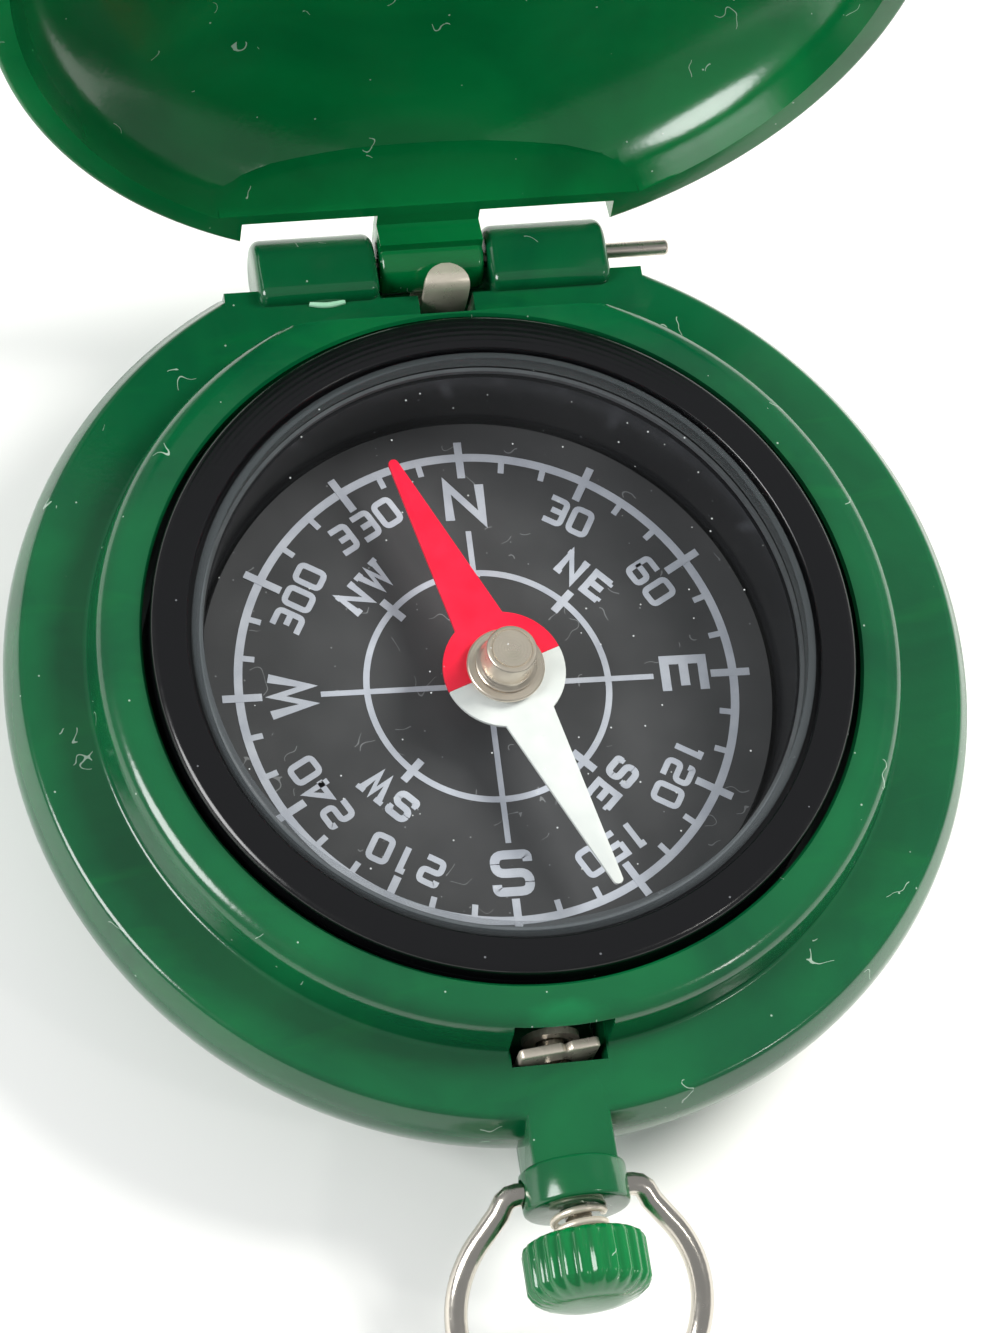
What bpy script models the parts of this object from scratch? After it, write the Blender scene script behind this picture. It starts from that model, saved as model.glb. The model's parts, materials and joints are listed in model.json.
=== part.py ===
"""Sighting compass in a moulded green hunter case, lid open.

Metres, +Z up. The origin is the centre of the flat bottom face. The hinge is at the
back (+Y), the press button and the bow are at the front (-Y), and east is +X.
Every piece is its own object. What moves hangs from an empty on its own axis.
"""
import math

import bmesh
import bpy
from mathutils import Matrix, Vector

MM = 0.001

# ---- driving dimensions -------------------------------------------------------------
CASE_R = 25.0 * MM            # flange and lid rim, 50 mm across
BULGE_R = 25.5 * MM           # widest place of the case side
DIAL_Z = 6.5 * MM             # printed face of the dial
FLANGE_Z = 9.3 * MM           # flat flange that the lid shuts on
COLLAR_Z = 12.4 * MM          # top of the raised collar round the capsule
COLLAR_R = 21.45 * MM         # foot of the collar
BORE_R = 18.75 * MM           # bore that takes the capsule
BEZEL_R = 18.4 * MM           # black ring that holds the crystal
BEZEL_Z = 13.15 * MM          # top of that ring
CRYSTAL_R = 16.25 * MM

HINGE_Y = 24.0 * MM           # lid hinge axis, parallel to X
HINGE_Z = 8.35 * MM
BARREL_R = 1.78 * MM          # case barrels of the hinge
LID_BARREL_R = 1.6 * MM
BARREL_IN = 3.05 * MM         # a case barrel runs from here
BARREL_OUT = 9.6 * MM         # to here, on both sides
PIN_R = 0.42 * MM
PIN_HOLE_R = 0.62 * MM
LID_OPEN_DEG = 103.0          # how far the lid stands open

RIM_Z = 9.45 * MM             # lid rim when the lid is shut
LID_TOP_Z = 16.9 * MM
CHORD_Y = 21.15 * MM          # flat back wall of the lid, outer face, lid shut
CHORD_WALL = 0.7 * MM
NOTCH_X = 10.15 * MM          # half width of the gap that clears the barrels
COLLAR_CHORD_Y = 19.0 * MM    # the collar is cut flat here for that wall

STEM_Z = 7.7 * MM             # axis of button, stem and bow
NECK_W = 4.4 * MM
BOSS_R = 2.75 * MM
BOSS_Y = -27.1 * MM           # back face of the boss on the neck
BOSS_END_Y = -29.3 * MM
BOW_Y = -28.2 * MM            # pivot of the bow
BOW_REACH = 13.2 * MM
BOW_WIRE_R = 0.6 * MM
BOW_DROOP_DEG = 32.0          # the bow hangs until it meets the table
KNOB_R = 3.2 * MM
KNOB_Y = -30.9 * MM           # back rim of the press button
STEM_R = 0.7 * MM

PIVOT = (0.45 * MM, -0.2 * MM)   # the needle's point stands a little off centre
NEEDLE_Z = 8.9 * MM
NEEDLE_DEG = 18.8             # north half points this far west of +Y
NEEDLE_DISC_R = 3.25 * MM
NEEDLE_TIP = 13.1 * MM

TURN_STEPS = 72


# ---- scene, materials ---------------------------------------------------------------
def clear_scene():
    for item in list(bpy.data.objects):
        bpy.data.objects.remove(item, do_unlink=True)


def new_collection(name):
    group = bpy.data.collections.new(name)
    bpy.context.scene.collection.children.link(group)
    return group


clear_scene()
PARTS = new_collection("sighting_compass")
CUTTERS = new_collection("cutters")


def material(name, colour, roughness, metallic=0.0, alpha=1.0):
    mat = bpy.data.materials.new(name)
    mat.use_nodes = True
    shader = mat.node_tree.nodes["Principled BSDF"]
    shader.inputs["Base Color"].default_value = (*colour, 1.0)
    shader.inputs["Roughness"].default_value = roughness
    shader.inputs["Metallic"].default_value = metallic
    shader.inputs["Alpha"].default_value = alpha
    mat.diffuse_color = (*colour, alpha)
    return mat


GREEN = material("green_plastic", (0.02, 0.13, 0.05), 0.3)
BLACK = material("black_plastic", (0.015, 0.015, 0.018), 0.35)
CLEAR = material("clear_acrylic", (0.9, 0.92, 0.92), 0.05, alpha=0.3)
SEAL = material("grey_seal", (0.35, 0.36, 0.38), 0.5)
CARD = material("dial_card", (0.03, 0.03, 0.035), 0.6)
NICKEL = material("nickel", (0.65, 0.62, 0.56), 0.25, 1.0)
STEEL = material("spring_steel", (0.5, 0.47, 0.43), 0.3, 1.0)
BRASS = material("brass", (0.7, 0.5, 0.2), 0.3, 1.0)
PAINT = material("needle_paint", (0.9, 0.04, 0.08), 0.4)
JEWEL = material("jewel", (0.5, 0.05, 0.12), 0.1)


# ---- building blocks ----------------------------------------------------------------
def finish(obj, mat, shade=True):
    obj.data.materials.append(mat)
    if shade:
        obj.data.shade_smooth()
        obj.data.set_sharp_from_angle(angle=math.radians(35))
    return obj


def add_mesh(name, mesh, group):
    obj = bpy.data.objects.new(name, mesh)
    group.objects.link(obj)
    if group is CUTTERS:
        obj.hide_render = True
        obj.display_type = 'WIRE'
    return obj


def turned(name, profile, group=PARTS, closed=True, steps=TURN_STEPS):
    """Turn (radius, height) points, which run down the outer side, about Z."""
    mesh = bpy.data.meshes.new(name)
    edges = [(i, i + 1) for i in range(len(profile) - 1)]
    if closed:
        edges.append((len(profile) - 1, 0))
    mesh.from_pydata([(r, 0.0, z) for r, z in profile], edges, [])
    obj = add_mesh(name, mesh, group)
    screw = obj.modifiers.new("turn", 'SCREW')
    screw.axis = 'Z'
    screw.angle = math.tau
    screw.steps = steps
    screw.render_steps = steps
    screw.use_merge_vertices = True
    screw.merge_threshold = 0.00001
    screw.use_smooth_shade = True
    return obj


def box(name, low, high, group=CUTTERS):
    mesh = bpy.data.meshes.new(name)
    work = bmesh.new()
    bmesh.ops.create_cube(work, size=1.0)
    size = [b - a for a, b in zip(low, high)]
    middle = [(a + b) / 2 for a, b in zip(low, high)]
    place = Matrix.Translation(middle) @ Matrix.Diagonal((*size, 1.0))
    bmesh.ops.transform(work, matrix=place, verts=work.verts)
    work.to_mesh(mesh)
    work.free()
    return add_mesh(name, mesh, group)


def round_edges(obj, width, segments=2, angle=40.0):
    bevel = obj.modifiers.new("round", 'BEVEL')
    bevel.width = width
    bevel.segments = segments
    bevel.limit_method = 'ANGLE'
    bevel.angle_limit = math.radians(angle)
    return bevel


def rod(name, radius, start, end, group=CUTTERS, sides=32, radius_end=None):
    """A round bar, or a cone frustum, between two points."""
    start = Vector(start)
    end = Vector(end)
    along = end - start
    mesh = bpy.data.meshes.new(name)
    work = bmesh.new()
    bmesh.ops.create_cone(work, cap_ends=True, segments=sides, radius1=radius,
                          radius2=radius if radius_end is None else radius_end,
                          depth=along.length)
    turn = along.to_track_quat('Z', 'Y').to_matrix().to_4x4()
    place = Matrix.Translation((start + end) / 2) @ turn
    bmesh.ops.transform(work, matrix=place, verts=work.verts)
    work.to_mesh(mesh)
    work.free()
    return add_mesh(name, mesh, group)


def plate(name, outline, low, high, group=CUTTERS, axis='Z'):
    """A flat outline, filled, between two heights along the named axis."""
    mesh = bpy.data.meshes.new(name)
    work = bmesh.new()
    verts = [work.verts.new((a, b, low)) for a, b in outline]
    face = work.faces.new(verts)
    grown = bmesh.ops.extrude_face_region(work, geom=[face])
    moved = [item for item in grown["geom"] if isinstance(item, bmesh.types.BMVert)]
    bmesh.ops.translate(work, verts=moved, vec=(0, 0, high - low))
    if axis == 'X':
        # outline is (y, z), depth runs along X
        swap = Matrix(((0, 0, 1, 0), (1, 0, 0, 0), (0, 1, 0, 0), (0, 0, 0, 1)))
        bmesh.ops.transform(work, matrix=swap, verts=work.verts)
    elif axis == 'Y':
        # outline is (x, z), depth runs along Y
        swap = Matrix(((1, 0, 0, 0), (0, 0, 1, 0), (0, 1, 0, 0), (0, 0, 0, 1)))
        bmesh.ops.transform(work, matrix=swap, verts=work.verts)
    bmesh.ops.recalc_face_normals(work, faces=work.faces)
    work.to_mesh(mesh)
    work.free()
    return add_mesh(name, mesh, group)


def boolean(obj, other, operation):
    step = obj.modifiers.new(operation.lower(), 'BOOLEAN')
    step.operation = operation
    step.object = other
    step.solver = 'EXACT'


def cut(obj, *others):
    for other in others:
        boolean(obj, other, 'DIFFERENCE')


def join(obj, *others):
    for other in others:
        boolean(obj, other, 'UNION')


def arc(cx, cy, radius, start, end, count):
    """Points on an arc, angles in degrees."""
    step = (end - start) / (count - 1)
    turns = [math.radians(start + step * i) for i in range(count)]
    return [(cx + radius * math.cos(t), cy + radius * math.sin(t)) for t in turns]


def wire(name, points, radius, group=PARTS, resolution=2):
    """A round wire along a chain of points, as one closed mesh."""
    data = bpy.data.curves.new(name + "_path", 'CURVE')
    data.dimensions = '3D'
    data.bevel_depth = radius
    data.bevel_resolution = resolution
    data.use_fill_caps = True
    line = data.splines.new('POLY')
    line.points.add(len(points) - 1)
    for spot, point in zip(line.points, points):
        spot.co = (*point, 1.0)
    path = bpy.data.objects.new(name + "_path", data)
    group.objects.link(path)
    bpy.context.view_layer.update()
    view = path.evaluated_get(bpy.context.evaluated_depsgraph_get())
    mesh = bpy.data.meshes.new_from_object(view)
    bpy.data.objects.remove(path, do_unlink=True)
    work = bmesh.new()
    work.from_mesh(mesh)
    bmesh.ops.remove_doubles(work, verts=work.verts, dist=0.000001)
    bmesh.ops.recalc_face_normals(work, faces=work.faces)
    work.to_mesh(mesh)
    work.free()
    return add_mesh(name, mesh, group)


def pivot(name, place, turn=(0.0, 0.0, 0.0)):
    empty = bpy.data.objects.new(name, None)
    empty.location = place
    empty.rotation_euler = turn
    empty.empty_display_size = 3 * MM
    PARTS.objects.link(empty)
    return empty


def hang(empty, *objects):
    """Hang objects, drawn where they stand before the empty turns, from it."""
    for obj in objects:
        obj.parent = empty
        obj.location = -Vector(empty.location)


# ---- case ---------------------------------------------------------------------------
def case_profile():
    top = [(BORE_R, COLLAR_Z), (COLLAR_R - 1.5 * MM, COLLAR_Z)]
    shoulder = arc(COLLAR_R - 1.5 * MM, COLLAR_Z - 1.2 * MM, 1.2 * MM, 72, 6, 5)
    foot = [(COLLAR_R - 0.1 * MM, FLANGE_Z + 0.25 * MM), (COLLAR_R + 0.15 * MM, FLANGE_Z)]
    edge = arc(CASE_R - 0.55 * MM, FLANGE_Z - 0.5 * MM, 0.5 * MM, 90, 18, 4)
    side = [(BULGE_R - 0.15 * MM, 8.3 * MM), (BULGE_R, 7.2 * MM), (25.2 * MM, 5.6 * MM),
            (24.2 * MM, 3.7 * MM), (22.7 * MM, 1.9 * MM), (21.3 * MM, 0.7 * MM),
            (20.9 * MM, 0.4 * MM), (20.25 * MM, 0.4 * MM)]
    inside = [(20.25 * MM, 2.1 * MM), (21.6 * MM, 3.0 * MM), (23.3 * MM, 5.2 * MM),
              (23.9 * MM, 7.2 * MM), (23.5 * MM, 7.8 * MM), (20.25 * MM, 7.8 * MM),
              (20.25 * MM, 3.5 * MM), (17.2 * MM, 3.5 * MM), (17.2 * MM, 4.1 * MM),
              (BORE_R, 4.1 * MM)]
    return top + shoulder + foot + edge + side + inside


def barrel_outline():
    """Round over the pin, with a foot that runs forward onto the flange."""
    back = arc(HINGE_Y, HINGE_Z, BARREL_R, -90, 90, 11)
    front = arc(HINGE_Y - 1.7 * MM, HINGE_Z + BARREL_R - 0.75 * MM, 0.75 * MM, 90, 180, 4)
    foot = [(HINGE_Y - 2.45 * MM, FLANGE_Z - 0.6 * MM), (HINGE_Y - 2.45 * MM, 6.9 * MM)]
    return back + front + foot


def make_case():
    case = turned("case_body", case_profile())
    block = box("hinge_block", (-11.4 * MM, 20.1 * MM, 4.2 * MM), (11.4 * MM, 22.7 * MM, FLANGE_Z))
    back_gap = box("hinge_gap", (-11.8 * MM, 22.5 * MM, 5.6 * MM), (11.8 * MM, 27 * MM, 10.5 * MM))
    chord = box("collar_chord", (-13 * MM, COLLAR_CHORD_Y, FLANGE_Z),
                (13 * MM, COLLAR_CHORD_Y + 6 * MM, 14 * MM))
    join(case, block)
    cut(case, back_gap, chord)
    for side, name in ((-1, "left"), (1, "right")):
        ends = sorted((side * BARREL_IN, side * BARREL_OUT))
        barrel = plate("barrel_" + name, barrel_outline(), ends[0], ends[1], axis='X')
        round_edges(barrel, 0.45 * MM, 2, 30)
        join(case, barrel)
    slot = box("lid_slot", (-BARREL_IN, 21.6 * MM, 5.9 * MM), (BARREL_IN, 28 * MM, 12 * MM))
    notch = box("spring_slot", (-1.0 * MM, 20.5 * MM, 5.9 * MM), (2.0 * MM, 22 * MM, 12 * MM))
    pin_hole = rod("pin_hole", PIN_HOLE_R, (-9.0 * MM, HINGE_Y, HINGE_Z),
                   (12 * MM, HINGE_Y, HINGE_Z), sides=20)
    cut(case, slot, notch, pin_hole)
    neck = box("neck", (-NECK_W / 2, BOSS_Y - 0.3 * MM, 5.4 * MM),
               (NECK_W / 2, -23.2 * MM, FLANGE_Z))
    boss = rod("boss", BOSS_R, (0, BOSS_Y, STEM_Z), (0, BOSS_END_Y, STEM_Z), sides=36)
    round_edges(boss, 0.2 * MM, 2)
    join(case, neck, boss)
    window = box("latch_window", (-2.6 * MM, -22.1 * MM, FLANGE_Z),
                 (2.6 * MM, -19.5 * MM, COLLAR_Z - 0.5 * MM))
    well = box("latch_well", (-2.5 * MM, -22.0 * MM, 6.1 * MM), (2.5 * MM, -18.2 * MM, 9.5 * MM))
    stem_bore = rod("stem_bore", STEM_R + 0.25 * MM, (0, -19.5 * MM, STEM_Z),
                    (0, -31 * MM, STEM_Z), sides=20)
    cut(case, window, well, stem_bore)
    for side in (-1, 1):
        dimple = rod("bow_hole", BOW_WIRE_R + 0.15 * MM, (side * 1.35 * MM, BOW_Y, STEM_Z),
                     (side * 4 * MM, BOW_Y, STEM_Z), sides=16)
        cut(case, dimple)
    return finish(case, GREEN)


def make_back_cover():
    cover = turned("back_cover", [
        (0.0, 1.4 * MM), (18.2 * MM, 1.4 * MM), (18.2 * MM, 3.1 * MM), (19.4 * MM, 3.1 * MM),
        (19.4 * MM, 1.9 * MM), (19.95 * MM, 1.9 * MM), (19.95 * MM, 0.35 * MM),
        (19.5 * MM, 0.0), (0.0, 0.0)], closed=False, steps=64)
    return finish(cover, GREEN)


# ---- capsule ------------------------------------------------------------------------
def make_capsule():
    cup = turned("capsule_cup", [
        (0.0, 5.9 * MM), (15.5 * MM, 5.9 * MM), (15.5 * MM, 11.6 * MM), (18.3 * MM, 11.6 * MM),
        (18.3 * MM, 4.4 * MM), (0.0, 4.4 * MM)], closed=False)
    finish(cup, BLACK)

    edge = arc(BEZEL_R - 0.35 * MM, BEZEL_Z - 0.35 * MM, 0.35 * MM, 90, 0, 4)
    ring = [(CRYSTAL_R + 0.25 * MM, BEZEL_Z)] + edge + [
        (BEZEL_R, 11.9 * MM), (CRYSTAL_R - 0.35 * MM, 11.9 * MM),
        (CRYSTAL_R - 0.35 * MM, 12.15 * MM), (CRYSTAL_R + 0.25 * MM, 12.15 * MM)]
    bezel = finish(turned("bezel_ring", ring), BLACK)

    seal = turned("crystal_seal", [
        (15.6 * MM, 12.15 * MM), (15.8 * MM, 12.15 * MM), (15.8 * MM, 11.85 * MM),
        (15.6 * MM, 11.85 * MM)], steps=48)
    finish(seal, SEAL)

    crystal = turned("crystal", [
        (0.0, 13.4 * MM), (CRYSTAL_R - 0.5 * MM, 13.4 * MM), (CRYSTAL_R, 12.95 * MM),
        (CRYSTAL_R, 12.4 * MM), (0.0, 12.4 * MM)], closed=False)
    finish(crystal, CLEAR)

    dial = turned("dial", [
        (1.8 * MM, DIAL_Z), (15.2 * MM, DIAL_Z), (15.2 * MM, 6.15 * MM),
        (1.8 * MM, 6.15 * MM)], steps=64)
    finish(dial, CARD)
    return [cup, bezel, seal, crystal, dial]


# ---- needle on its point ------------------------------------------------------------
def needle_outline():
    """Disc with two tapering blades, north half first, about the pivot."""
    root = 1.35 * MM
    tip = 0.3 * MM
    start = math.degrees(math.acos(root / NEEDLE_DISC_R))
    outline = []
    for turn in (0, 180):
        side = arc(0, 0, NEEDLE_DISC_R, -start, start, 9)
        end = arc(0, NEEDLE_TIP - tip, tip, 0, 180, 5)
        spin = Matrix.Rotation(math.radians(turn), 2)
        outline += [tuple(spin @ Vector(p)) for p in side + end]
    return outline


def make_needle():
    post = rod("pivot_bush", 1.0 * MM, (*PIVOT, 6.2 * MM), (*PIVOT, 7.3 * MM), PARTS, 24)
    bore = rod("bush_bore", 0.5 * MM, (*PIVOT, 6.0 * MM), (*PIVOT, 8.0 * MM), CUTTERS, 16)
    cut(post, bore)
    finish(post, BRASS)
    pin = rod("pivot_pin", 0.3 * MM, (*PIVOT, 6.2 * MM), (*PIVOT, 9.8 * MM), PARTS, 16)
    point = rod("pivot_point", 0.3 * MM, (*PIVOT, 9.79 * MM), (*PIVOT, 10.6 * MM),
                CUTTERS, 16, radius_end=0.04 * MM)
    join(pin, point)
    finish(pin, STEEL)

    spin = pivot("needle_axis", (*PIVOT, NEEDLE_Z), (0, 0, math.radians(NEEDLE_DEG)))
    blade = plate("needle", needle_outline(), 0.0, 0.25 * MM, PARTS)
    eye = rod("needle_eye", 1.0 * MM, (0, 0, -MM), (0, 0, 2 * MM), CUTTERS, 24)
    cut(blade, eye)
    finish(blade, PAINT)
    washer = turned("hub_washer", [
        (0.95 * MM, 0.8 * MM), (1.75 * MM, 0.8 * MM), (2.1 * MM, 0.62 * MM),
        (2.1 * MM, 0.55 * MM), (0.95 * MM, 0.55 * MM)], steps=36)
    finish(washer, NICKEL)
    edge = arc(1.2 * MM, 2.75 * MM, 0.15 * MM, 90, 0, 3)
    cap = turned("hub_cap", [(0.0, 2.9 * MM)] + edge + [
        (1.35 * MM, 1.1 * MM), (0.95 * MM, 1.1 * MM), (0.95 * MM, 2.55 * MM),
        (0.0, 2.55 * MM)], closed=False, steps=36)
    finish(cap, NICKEL)
    jewel = turned("pivot_jewel", [
        (0.0, 2.25 * MM), (0.65 * MM, 2.25 * MM), (0.65 * MM, 1.5 * MM), (0.45 * MM, 1.5 * MM),
        (0.0, 2.0 * MM)], closed=False, steps=20)
    finish(jewel, JEWEL)
    for obj in (blade, eye, washer, cap, jewel):
        obj.parent = spin
    return [post, pin, blade, washer, cap, jewel]


# ---- hinge pin, lid spring ----------------------------------------------------------
def make_hinge_pin():
    pin = rod("hinge_pin", PIN_R, (-8.7 * MM, HINGE_Y, HINGE_Z), (13.3 * MM, HINGE_Y, HINGE_Z),
              PARTS, 20)
    round_edges(pin, 0.15 * MM, 2)
    return finish(pin, STEEL)


def strip_outline(points, thickness):
    """Offset a chain of (y, z) points to both sides, for a bent strip."""
    chain = [Vector(p) for p in points]
    left = []
    right = []
    for i, here in enumerate(chain):
        before = chain[max(i - 1, 0)]
        after = chain[min(i + 1, len(chain) - 1)]
        along = (after - before).normalized()
        across = Vector((-along.y, along.x)) * thickness / 2
        left.append(tuple(here + across))
        right.append(tuple(here - across))
    return left + right[::-1]


def make_lid_spring():
    """Leaf that stands in the slot and leans its round end over the lid's barrel."""
    path = [(24.4 * MM, 6.2 * MM), (22.3 * MM, 6.2 * MM), (21.75 * MM, 6.45 * MM),
            (21.5 * MM, 7.0 * MM), (21.45 * MM, 8.6 * MM), (21.6 * MM, 9.6 * MM),
            (22.0 * MM, 10.3 * MM), (22.6 * MM, 10.65 * MM), (23.1 * MM, 10.6 * MM)]
    leaf = plate("lid_spring", strip_outline(path, 0.32 * MM), -0.75 * MM, 1.75 * MM,
                 PARTS, axis='X')
    round_edges(leaf, 0.05 * MM, 1, 60)
    return finish(leaf, STEEL)


# ---- lid, drawn shut and then opened ------------------------------------------------
def lid_outer():
    crown = [(0.0, LID_TOP_Z), (8 * MM, 16.8 * MM), (15 * MM, 16.4 * MM), (20 * MM, 15.6 * MM),
             (22.6 * MM, 14.5 * MM), (24.2 * MM, 13.0 * MM), (24.9 * MM, 11.4 * MM),
             (CASE_R, 10.2 * MM), (24.85 * MM, 9.65 * MM), (24.6 * MM, RIM_Z)]
    return crown + [(0.0, RIM_Z)]


def lid_inner():
    return [(0.0, 15.5 * MM), (8 * MM, 15.4 * MM), (15 * MM, 15.0 * MM), (19.4 * MM, 14.2 * MM),
            (22.0 * MM, 13.0 * MM), (23.1 * MM, 11.6 * MM), (23.4 * MM, 10.2 * MM),
            (23.4 * MM, 8.0 * MM), (0.0, 8.0 * MM)]


def make_lid():
    hinge = pivot("lid_axis", (0, HINGE_Y, HINGE_Z), (math.radians(-LID_OPEN_DEG), 0, 0))
    shell = turned("lid_shell", lid_outer(), closed=False)
    hollow = turned("lid_hollow", lid_inner(), CUTTERS, closed=False)
    keep_wall = box("lid_wall", (-11.4 * MM, CHORD_Y - CHORD_WALL, 5 * MM),
                    (11.4 * MM, 27 * MM, 18 * MM))
    cut(hollow, keep_wall)
    notch = box("lid_notch", (-NOTCH_X, CHORD_Y, 5 * MM), (NOTCH_X, 27 * MM, 18 * MM))
    cut(shell, hollow, notch)
    arm = plate("lid_arm", [
        (CHORD_Y - 0.4 * MM, RIM_Z + 0.05 * MM), (21.95 * MM, RIM_Z + 0.05 * MM),
        (21.95 * MM, HINGE_Z - 0.3 * MM), (HINGE_Y, HINGE_Z - 0.3 * MM), (HINGE_Y, 9.85 * MM),
        (22.6 * MM, 10.15 * MM), (CHORD_Y - 0.4 * MM, 10.15 * MM)],
        -2.8 * MM, 2.8 * MM, axis='X')
    barrel = rod("lid_barrel", LID_BARREL_R, (-2.85 * MM, HINGE_Y, HINGE_Z),
                 (2.85 * MM, HINGE_Y, HINGE_Z), sides=28)
    round_edges(barrel, 0.3 * MM, 2, 60)
    bore = rod("lid_bore", PIN_HOLE_R, (-5 * MM, HINGE_Y, HINGE_Z), (5 * MM, HINGE_Y, HINGE_Z),
               sides=20)
    join(shell, arm, barrel)
    cut(shell, bore)
    catch = box("lid_catch", (-1.9 * MM, -24 * MM, RIM_Z + 0.5 * MM),
                (1.9 * MM, -21.75 * MM, RIM_Z + 1.4 * MM))
    join(shell, catch)
    slit = box("sight_slit", (-1.1 * MM, -17 * MM, 12 * MM), (1.1 * MM, -4 * MM, 18 * MM))
    cut(shell, slit)
    finish(shell, GREEN)

    hair = wire("sight_wire", [(0, -18.2 * MM, 13.9 * MM), (0, -10.5 * MM, 14.5 * MM),
                               (0, -2.8 * MM, 15.0 * MM)], 0.12 * MM)
    finish(hair, STEEL)
    studs = []
    for name, y, z in (("sight_stud_tip", -18.9 * MM, 13.95 * MM),
                       ("sight_stud_root", -2.1 * MM, 15.1 * MM)):
        stud = rod(name, 0.5 * MM, (0, y, z - 0.25 * MM), (0, y, z + 0.25 * MM), PARTS, 20)
        finish(stud, BRASS)
        studs.append(stud)
    hang(hinge, shell, hollow, keep_wall, notch, arm, barrel, bore, catch, slit, hair, *studs)
    return shell


# ---- press button with its latch, and the bow ---------------------------------------
def make_button():
    slide = pivot("button_axis", (0, KNOB_Y, STEM_Z))
    y = KNOB_Y
    knob = turned("push_button", [
        (0.0, -2.9 * MM), (0.95 * MM, -2.9 * MM), (0.95 * MM, -1.9 * MM), (2.15 * MM, -1.9 * MM),
        (2.15 * MM, 0.0), (KNOB_R - 0.3 * MM, 0.0), (KNOB_R, -0.3 * MM), (KNOB_R, -2.5 * MM),
        (KNOB_R - 0.35 * MM, -3.0 * MM), (KNOB_R - 1.2 * MM, -3.3 * MM), (0.0, -3.4 * MM)],
        closed=False, steps=48)
    knob.rotation_euler = (math.radians(-90), 0, 0)
    flutes = 16
    for i in range(flutes):
        turn = math.tau * i / flutes
        x = (KNOB_R + 0.12 * MM) * math.cos(turn)
        z = (KNOB_R + 0.12 * MM) * math.sin(turn)
        groove = rod("flute", 0.3 * MM, (x, MM, z), (x, -5 * MM, z), CUTTERS, 8)
        groove.parent = slide
        cut(knob, groove)
    finish(knob, GREEN)

    stem = rod("button_stem", STEM_R, (0, -20.0 * MM - y, 0), (0, -33.45 * MM - y, 0), PARTS, 24)
    finish(stem, STEEL)
    clip = rod("stem_clip", 1.5 * MM, (0, -20.35 * MM - y, 0), (0, -20.0 * MM - y, 0), PARTS, 24)
    clip_bore = rod("clip_bore", STEM_R + 0.12 * MM, (0, -21 * MM - y, 0), (0, -19 * MM - y, 0),
                    CUTTERS, 20)
    gap = box("clip_gap", (-0.5 * MM, -21 * MM - y, -3 * MM), (0.5 * MM, -19 * MM - y, 0))
    cut(clip, clip_bore, gap)
    finish(clip, STEEL)

    top = 2.25 * MM
    outline = [(-2.15 * MM, -1.4 * MM), (2.15 * MM, -1.4 * MM), (2.15 * MM, top - 0.15 * MM),
               (2.0 * MM, top), (0.45 * MM, top), (0.2 * MM, top - 0.35 * MM),
               (-0.2 * MM, top - 0.35 * MM), (-0.45 * MM, top), (-2.0 * MM, top),
               (-2.15 * MM, top - 0.15 * MM)]
    latch = plate("latch_plate", outline, -21.35 * MM - y, -20.8 * MM - y, PARTS, axis='Y')
    eye = rod("latch_eye", STEM_R + 0.2 * MM, (0, -23 * MM - y, 0), (0, -19 * MM - y, 0),
              CUTTERS, 20)
    cut(latch, eye)
    finish(latch, STEEL)

    turns = 4.5
    count = int(turns * 12)
    coil = [(1.3 * MM * math.cos(math.tau * turns * i / count),
             1.45 * MM - 3.0 * MM * i / count,
             1.3 * MM * math.sin(math.tau * turns * i / count)) for i in range(count + 1)]
    spring = wire("button_spring", coil, 0.2 * MM)
    finish(spring, STEEL)
    for obj in (knob, stem, clip, clip_bore, gap, latch, eye, spring):
        obj.parent = slide
    return [knob, stem, clip, latch, spring]


def bow_path():
    """Half of the loop in (x, outward), from the pivot end to the far end."""
    radius = 6.4 * MM
    centre = BOW_REACH - BOW_WIRE_R - radius
    inward = [(1.65 * MM, 0.0), (3.1 * MM, 0.0), (3.6 * MM, 0.25 * MM), (3.95 * MM, 0.9 * MM)]
    loop = [(p[0], p[1] + centre) for p in arc(0, 0, radius, -42, 90, 12)]
    return inward + loop


def make_bow():
    swing = pivot("bow_axis", (0, BOW_Y, STEM_Z), (math.radians(BOW_DROOP_DEG), 0, 0))
    half = bow_path()
    whole = half + [(-x, u) for x, u in half[-2::-1]]
    ring = wire("bow_ring", [(x, -u, 0.0) for x, u in whole], BOW_WIRE_R, resolution=3)
    finish(ring, STEEL)
    ring.parent = swing
    return ring


make_case()
make_back_cover()
make_capsule()
make_needle()
make_hinge_pin()
make_lid_spring()
make_lid()
make_button()
make_bow()
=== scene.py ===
"""Looks of the sighting compass: green moulded hunter case, glazed capsule, sprung lid.

Everything is drawn in millimetres in the row frame (+Y to the hinge, +Z up, z = 0 on the
table) and is scaled to metres when a piece is finished.
"""

import json
import math

import bmesh
import bpy
from mathutils import Matrix, Vector

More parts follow.
